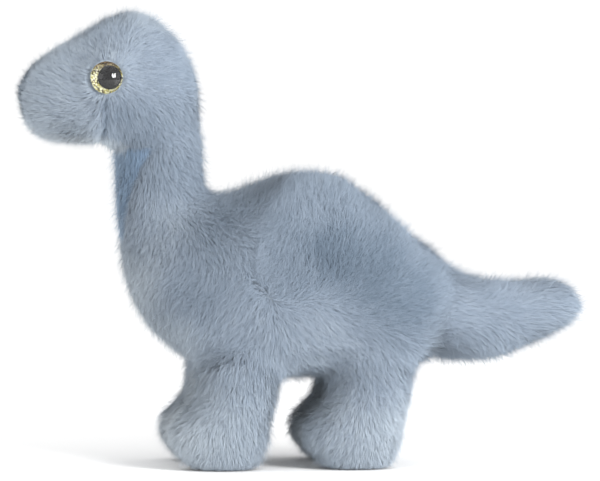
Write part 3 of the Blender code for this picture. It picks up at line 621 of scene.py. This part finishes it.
# Pile --------------------------------------------------------------------------------------------
def flow_at(points):
    """The way the pile lies and its tone, blended from the nearest guides."""
    low, high = (np.array(c) for c in CAD_BOX)
    size = high - low
    guides = low[[0, 2]] + FLOW[:, :2] * size[[0, 2]]
    ways = FLOW[:, 2:4] / np.linalg.norm(FLOW[:, 2:4], axis=1, keepdims=True)
    off = points[:, None, [0, 2]] - guides
    near = 1 / ((off**2).sum(axis=-1) + FLOW_SOFTNESS ** 2) ** 1.5
    near /= near.sum(axis=1, keepdims=True)
    way = near @ ways
    tone = near @ FLOW[:, 4]
    return np.column_stack([way[:, 0], np.zeros(len(way)), way[:, 1]]), tone


def wander(points, scale, seed):
    """A smooth random value between about -1 and 1, from a few crossed waves."""
    dice = np.random.default_rng(seed)
    ways = dice.normal(size=(6, 3)) / scale
    phase = dice.uniform(0, 2 * math.pi, 6)
    return np.sin(points @ ways.T + phase).sum(axis=1) / 3.0


def scatter(points, tris, normals, density):
    """Even random places on the skin: their points, normals and triangles."""
    a, b, c = (points[tris[:, k]] for k in range(3))
    area = 0.5 * np.linalg.norm(np.cross(b - a, c - a), axis=1)
    total = np.cumsum(area)
    count = int(total[-1] * density)
    mark = (np.arange(count) + RANDOM.uniform(0, 1, count)) / count * total[-1]
    face = np.minimum(np.searchsorted(total, mark), len(tris) - 1)
    u, v = RANDOM.uniform(0, 1, count), RANDOM.uniform(0, 1, count)
    over = u + v > 1
    u, v = np.where(over, 1 - u, u), np.where(over, 1 - v, v)
    weight = np.stack([1 - u - v, u, v], axis=1)[..., None]
    roots = (points[tris[face]] * weight).sum(axis=1)
    return roots, unit((normals[tris[face]] * weight).sum(axis=1)), face


def strand_lengths(roots, normals, body_index, eye_away, seam):
    per_body = np.array([LENGTHS["leg" if b.startswith("leg") else b] for b in BODIES])
    length = per_body[body_index]
    low, high = (np.array(c) for c in CAD_BOX)
    nose = (roots[:, 0] - low[0]) / (high[0] - low[0])
    head = BODIES.index("head")
    muzzle = np.clip((0.17 - nose) / 0.1, 0, 1) * (body_index == head)
    length = length + muzzle * (MUZZLE_LENGTH - length)
    sole = np.clip((-normals[:, 2] - 0.6) / 0.3, 0, 1) * (roots[:, 2] < 12 * MM)
    length = length + sole * (SOLE_LENGTH - length)
    low_down = np.clip(1 - roots[:, 2] / (10 * MM), 0, 1) * (body_index >= 4)
    length *= 1 - 0.7 * low_down
    inner = np.clip(-normals[:, 1] * np.sign(roots[:, 1]), 0, 1) * (body_index >= 4)
    length = length + inner * (INNER_LEG_LENGTH - length)
    close = np.clip(1 - eye_away / EYE_FLOW_REACH, 0, 1)
    length = length + close * (EYE_FUR_LENGTH - length)
    length *= 1 - 0.3 * np.exp(-(seam / SEAM_FUR_REACH) ** 2)
    return length * MM


def dart_distance(points):
    """Distance from the sewn dart that runs from below each eye to the jaw, seen from the side."""
    nearest = np.full(len(points), FAR)
    for eye in EYES:
        mine = points[:, 1] * eye.centre[1] > 0
        line = eye.centre[[0, 2]] + np.array(DART) * MM
        for start, end in zip(line[:-1], line[1:]):
            way = end - start
            off = points[:, [0, 2]] - start
            t = np.clip(off @ way / (way @ way), 0, 1)
            away = np.linalg.norm(off - t[:, None] * way, axis=1)
            nearest = np.where(mine, np.minimum(nearest, away), nearest)
    return nearest


def comb(roots):
    """Unit directions along the skin in which the pile lies, and its tone."""
    guide, tone = flow_at(roots)
    aside = np.stack([wander(roots, FLOW_WANDER_SIZE, 50 + k) for k in range(3)], axis=1)
    guide += FLOW_WANDER * aside
    for eye in EYES:
        height, away = eye.polar(roots)
        off = roots - eye.centre
        radial = unit(off - height[:, None] * eye.out)
        pull = np.clip(1 - (away - eye.radius) / EYE_FLOW_REACH, 0, 1)
        pull = pull * (np.abs(height) < EYE_DEPTH)
        guide = guide + (EYE_FLOW_PULL * pull)[:, None] * radial
    return guide, tone


def strand_points(roots, normals, guide, length, loose, clump_roots=None, clump_tips=None,
                  clump_of=None):
    """A strand's middle and tip. loose is 1 for the strands that stand away from the rest."""
    rise = (guide * normals).sum(axis=1, keepdims=True)
    along = unit(guide - rise * normals)
    lift = REST_LIFT + OUTWARD_LIFT * np.maximum(0, rise)
    lift = lift + INWARD_LIFT * np.maximum(0, -rise - INWARD_START)
    reach = length[:, None]
    noise = RANDOM.normal(size=roots.shape) * (TIP_NOISE + LOOSE_NOISE * loose)[:, None]
    lift = lift + LOOSE_LIFT * loose[:, None]
    down = np.array([0, 0, -TIP_DROP])
    middle = roots + 0.5 * reach * unit(0.55 * along + normals * (lift + 0.45))
    tip = middle + 0.55 * reach * unit(along + 0.6 * lift * normals + down + noise)
    if clump_tips is not None:
        drawn = clump_roots[clump_of] + (clump_tips - clump_roots)[clump_of]
        drawn = drawn + 0.3 * (roots - clump_roots[clump_of])
        tip = tip + (CLUMPING * (1 - loose))[:, None] * (drawn - tip)
    for place in (middle, tip):
        place[:, 2] = np.maximum(place[:, 2], FLOOR_GAP)
    return middle, tip


def add_pile(points, tris, normals, labels, materials):
    roots, skin_normals, face = scatter(points, tris, normals, STRANDS_PER_AREA)
    seeds, seed_normals, _ = scatter(points, tris, normals, CLUMPS_PER_AREA)
    keep = eye_distance(roots) > EYE_CLEARANCE
    roots, skin_normals, face = roots[keep], skin_normals[keep], face[keep]
    body_index = labels[tris[face, 0]]
    seam, group = seam_distance(roots)
    dart = np.exp(-(dart_distance(roots) / DART_REACH) ** 2)
    dart *= np.clip(0.6 + 0.6 * wander(roots, 3 * MM, 9), 0, 1)
    eye_away = np.maximum(eye_distance(roots), 0)
    length = strand_lengths(roots, skin_normals, body_index, eye_away, seam)
    length *= RANDOM.uniform(*LENGTH_RANGE, len(roots)) * (1 - 0.5 * dart)

    tree = KDTree(len(seeds))
    for k, place in enumerate(seeds.tolist()):
        tree.insert(place, k)
    tree.balance()
    clump_of = np.array([tree.find(p)[1] for p in roots.tolist()])
    seed_length = np.bincount(clump_of, length, len(seeds)) / np.maximum(
        np.bincount(clump_of, minlength=len(seeds)), 1)
    seed_guide, _ = comb(seeds)
    seed_guide += RANDOM.normal(0, TUFT_TURN, seeds.shape)
    seed_length *= RANDOM.uniform(*TUFT_LENGTH_RANGE, len(seeds))
    _, seed_tips = strand_points(seeds, seed_normals, seed_guide, seed_length, np.zeros(len(seeds)))
    guide, tone = comb(roots)
    loose = (RANDOM.uniform(0, 1, len(roots)) < LOOSE_SHARE).astype(float)
    length *= 1 + LOOSE_EXTRA * loose * RANDOM.uniform(0, 1, len(roots))
    middle, tip = strand_points(roots, skin_normals, guide, length, loose, seeds, seed_tips, clump_of)

    way = unit(tip - roots)
    turn = RANDOM.normal(0, RIBBON_TURN, len(roots))[:, None]
    side = np.cos(turn) * unit(np.cross(way, skin_normals)) + np.sin(turn) * skin_normals
    half = 0.5 * STRAND_WIDTH * side * (1 - (1 - LOOSE_WIDTH) * loose)[:, None]
    corners = np.stack([roots - half, roots + half, middle - 0.8 * half, middle + 0.8 * half, tip],
                       axis=1)
    corners[..., 2] = np.maximum(corners[..., 2], FLOOR_GAP)
    facing = np.cross(side, way)
    facing *= np.sign((facing * skin_normals).sum(axis=1, keepdims=True) + 1e-9)
    shading = unit(skin_normals + 0.35 * facing)

    clump_tone = RANDOM.normal(0, 0.028, len(seeds))[clump_of]
    tone = tone + clump_tone + RANDOM.normal(0, 0.025, len(roots))
    tone = tone + 0.02 * wander(roots, 6 * MM, 7) + 0.035 * wander(roots, 20 * MM, 8)
    # Painted shade: the pile is darker along the seams and the dart, as the shade in the creases where it
    # parts.
    tone -= 0.04 * np.exp(-(seam / SEAM_FUR_REACH) ** 2) + 0.3 * dart
    # Painted light: lighter tone on the legs' inner sides and on the crown, chin and belly strips, where
    # shade falls.
    inner = np.clip(-skin_normals[:, 1] * np.sign(roots[:, 1]), 0, 1) * (body_index >= 4)
    for name, gain in GROUP_PAINTED_LIGHT.items():
        tone = tone + gain * (group == GROUPS.index(name))
    tone = np.clip(tone + INNER_LEG_PAINTED_LIGHT * inner, *TONE_LIMITS)
    across = np.array([-0.004, 0.004, -0.004, 0.004, 0])
    uv = np.stack(np.broadcast_arrays(tone[:, None] + across,
                                      np.array([0.02, 0.02, 0.5, 0.5, 0.98])), axis=-1)

    zone = zones_at(roots, body_index)
    throat = group == GROUPS.index("throat")
    pattern = np.array([(0, 1, 3), (0, 3, 2), (2, 3, 4)])
    for index, name in enumerate(ZONES):
        for slot, chosen in (("pile", ~throat), ("throat_pile", throat)):
            mine = np.flatnonzero((zone == index) & chosen)
            if not len(mine):
                continue
            parts = np.array_split(mine, math.ceil(len(mine) / MOST_STRANDS))
            for number, part in enumerate(parts):
                start = 5 * np.arange(len(part))[:, None, None]
                item = add_mesh(f"{slot}_{name}_{number}", corners[part].reshape(-1, 3),
                                (start + pattern).reshape(-1, 3), materials[slot],
                                uv[part].reshape(-1, 2), np.repeat(shading[part], 5, axis=0))
                settle(item, index)


def add_skin(points, tris, zone, material):
    faces = face_zones(tris, zone)
    for index, name in enumerate(ZONES):
        chosen = tris[faces == index]
        if not len(chosen):
            continue
        used, compact = np.unique(chosen, return_inverse=True)
        item = add_mesh(f"skin_{name}", points[used], compact.reshape(-1, 3), material)
        settle(item, index)
        if index < len(BODIES):
            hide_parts(*[n for n in SOFT if body_of(n) == name])


# Eyes --------------------------------------------------------------------------------------------
TURN_STEPS = 96
GLINT_TURN = (0.35, 0.09)  # where on the dome the light is mirrored, behind and above its middle


def turned(name, profile, eye, material, middle=None):
    """A closed round piece about the eye's axis from (radius, height) points, on the axis at both ends."""
    centre = eye.centre if middle is None else middle
    steps = np.arange(TURN_STEPS) * 2 * math.pi / TURN_STEPS
    round_it = np.cos(steps)[:, None] * eye.along + np.sin(steps)[:, None] * eye.up
    inner = profile[1:-1]
    rings = [centre + radius * round_it + height * eye.out for radius, height in inner]
    ends = [centre + profile[k][1] * eye.out for k in (0, -1)]
    points = np.concatenate([*rings, ends])
    tris = []
    count = len(inner)
    for ring in range(count - 1):
        for k in range(TURN_STEPS):
            a, b = ring * TURN_STEPS + k, ring * TURN_STEPS + (k + 1) % TURN_STEPS
            tris += [(a, b, b + TURN_STEPS), (a, b + TURN_STEPS, a + TURN_STEPS)]
    last = (count - 1) * TURN_STEPS
    for k in range(TURN_STEPS):
        tris.append(((k + 1) % TURN_STEPS, k, len(points) - 2))
        tris.append((last + k, last + (k + 1) % TURN_STEPS, len(points) - 1))
    item = add_mesh(name, points, np.array(tris), material)
    item.data.set_sharp_from_angle(angle=math.radians(40))
    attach(item, "head")
    return item


def disc_profile(low, high, radius):
    bevel = 0.12 * (high - low)
    return [(0, low), (radius - bevel, low), (radius, low + bevel), (radius, high - bevel),
            (radius - bevel, high), (0, high)]


def add_eyes(materials):
    for eye in EYES:
        low, high = eye.heights("dome")
        edge = 0.8 * MM
        rise = high - low - edge
        sphere = (eye.radius**2 + rise**2) / (2 * rise)
        half = math.asin(eye.radius / sphere)
        cap = [(sphere * math.sin(half * t), high - sphere + sphere * math.cos(half * t))
               for t in np.linspace(1, 0, 18)]
        dome = turned(f"eye_{eye.side}_dome", [(0, low), (eye.radius - 0.2 * MM, low),
                                               (eye.radius, low + 0.2 * MM), *cap[:-1], (0, high)],
                      eye, materials["clear"])
        iris = turned(f"eye_{eye.side}_iris",
                      disc_profile(*eye.heights("iris"), eye.reach("iris")), eye,
                      materials["glitter"])
        pupil_at = eye.middle(eye.points["pupil"])
        pupil_at = pupil_at - ((pupil_at - eye.centre) @ eye.out) * eye.out
        pupil = turned(f"eye_{eye.side}_pupil",
                       disc_profile(*eye.heights("pupil"), eye.reach("pupil")), eye,
                       materials["black"], pupil_at)
        for item, part, slot in ((dome, "dome", "eye_clear"), (iris, "iris", "eye_glitter"),
                                 (pupil, "pupil", "eye_black")):
            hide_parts(f"eye_{part}_{eye.side}")
        for part, look in (("post", "black"), ("washer", "washer")):
            mesh = NODES[f"eye_{part}_{eye.side}"].data
            mesh.materials.clear()
            mesh.materials.append(materials[look])


# Stage -------------------------------------------------------------------------------------------
STAGE_AIM = Vector((0, 0, 0.11))  # metres, the middle of the toy
KEY_PLACE = Vector((-1.3, -1.4, 0.35))
KEY_SIZE, KEY_POWER = 1.2, 7  # metres and watts
CATCH_SIZE, CATCH_POWER, CATCH_DISTANCE = 0.40, 16, 1.1
SKY_STRENGTH = 1.05
FLOOR_WHITE = 0.99
CAMERA_TURN, CAMERA_RISE = math.radians(-7), math.radians(2.5)
CAMERA_DISTANCE, VIEW_WIDTH, VIEW_MIDDLE = 2.6, 0.3045, 0.1135  # metres
SENSOR_WIDTH = 36  # mm


def add_stage():
    floor = add_mesh("floor", np.array([(-6, -4, 0), (6, -4, 0), (6, 8, 0), (-6, 8, 0)]) * 1.0,
                     np.array([(0, 1, 2), (0, 2, 3)]),
                     moulded_material("pale_floor", (FLOOR_WHITE,) * 3, 0.9, 0.01))
    world = bpy.data.worlds.new("studio")
    bpy.context.scene.world = world
    world.use_nodes = True
    world.node_tree.nodes["Background"].inputs["Color"].default_value = (1.0, 1.0, 1.0, 1)
    world.node_tree.nodes["Background"].inputs["Strength"].default_value = SKY_STRENGTH
    aim = Vector(EYES[0].centre)
    glint = EYES[0].out + EYES[0].along * GLINT_TURN[0] + EYES[0].up * GLINT_TURN[1]
    glint = Vector(glint).normalized()
    to_camera = (bpy.context.scene.camera.location - aim).normalized()
    catch_place = aim + (2 * glint.dot(to_camera) * glint - to_camera) * CATCH_DISTANCE
    for name, place, size, power in (("key", KEY_PLACE, KEY_SIZE, KEY_POWER),
                                     ("catch", catch_place, CATCH_SIZE, CATCH_POWER)):
        light = bpy.data.lights.new(name, "AREA")
        light.size = size
        light.energy = power
        lamp = bpy.data.objects.new(name, light)
        bpy.context.collection.objects.link(lamp)
        lamp.location = place
        lamp.rotation_euler = (lamp.location - STAGE_AIM).to_track_quat("Z", "Y").to_euler()
    bpy.context.scene.view_settings.view_transform = "Standard"


def add_camera():
    back = Vector((math.sin(CAMERA_TURN) * math.cos(CAMERA_RISE),
                   -math.cos(CAMERA_TURN) * math.cos(CAMERA_RISE), math.sin(CAMERA_RISE)))
    data = bpy.data.cameras.new("camera")
    data.sensor_width = SENSOR_WIDTH
    data.lens = SENSOR_WIDTH * CAMERA_DISTANCE / VIEW_WIDTH
    camera = bpy.data.objects.new("camera", data)
    bpy.context.collection.objects.link(camera)
    camera.location = Vector((0, 0, VIEW_MIDDLE)) + back * CAMERA_DISTANCE
    camera.rotation_euler = back.to_track_quat("Z", "Y").to_euler()
    bpy.context.scene.camera = camera


MATERIALS = {
    "pile": pile_material("blue_grey_pile", ((0.125, 0.165, 0.215), (0.25, 0.30, 0.365),
                                             (0.40, 0.455, 0.51), (0.60, 0.655, 0.70))),
    "throat_pile": pile_material("throat_pile", ((0.11, 0.17, 0.26), (0.215, 0.30, 0.41),
                                                 (0.36, 0.46, 0.57), (0.56, 0.65, 0.74))),
    "backing": backing_material("pile_backing", (0.24, 0.285, 0.34), (0.32, 0.37, 0.43)),
    "glitter": glitter_material(),
    "black": moulded_material("eye_black", (0.010, 0.010, 0.012), 0.5, 0.3, Specular_IOR_Level=0.0),
    "washer": moulded_material("washer_white", (0.82, 0.82, 0.80), 0.4, 0.04),
    "clear": new_material("eye_clear", 0.02, Transmission_Weight=1.0, IOR=1.40)[0],
}

skin_points, skin_tris = finished_skin()
skin_normals = vertex_normals(skin_points, skin_tris)
body_labels = np.argmin(np.stack([distances(t, skin_points) for t in BODY_TREES]), axis=0)
add_skin(skin_points, skin_tris, zones_at(skin_points, body_labels), MATERIALS["backing"])
add_pile(skin_points, skin_tris, skin_normals, body_labels, MATERIALS)
add_eyes(MATERIALS)
add_camera()
add_stage()
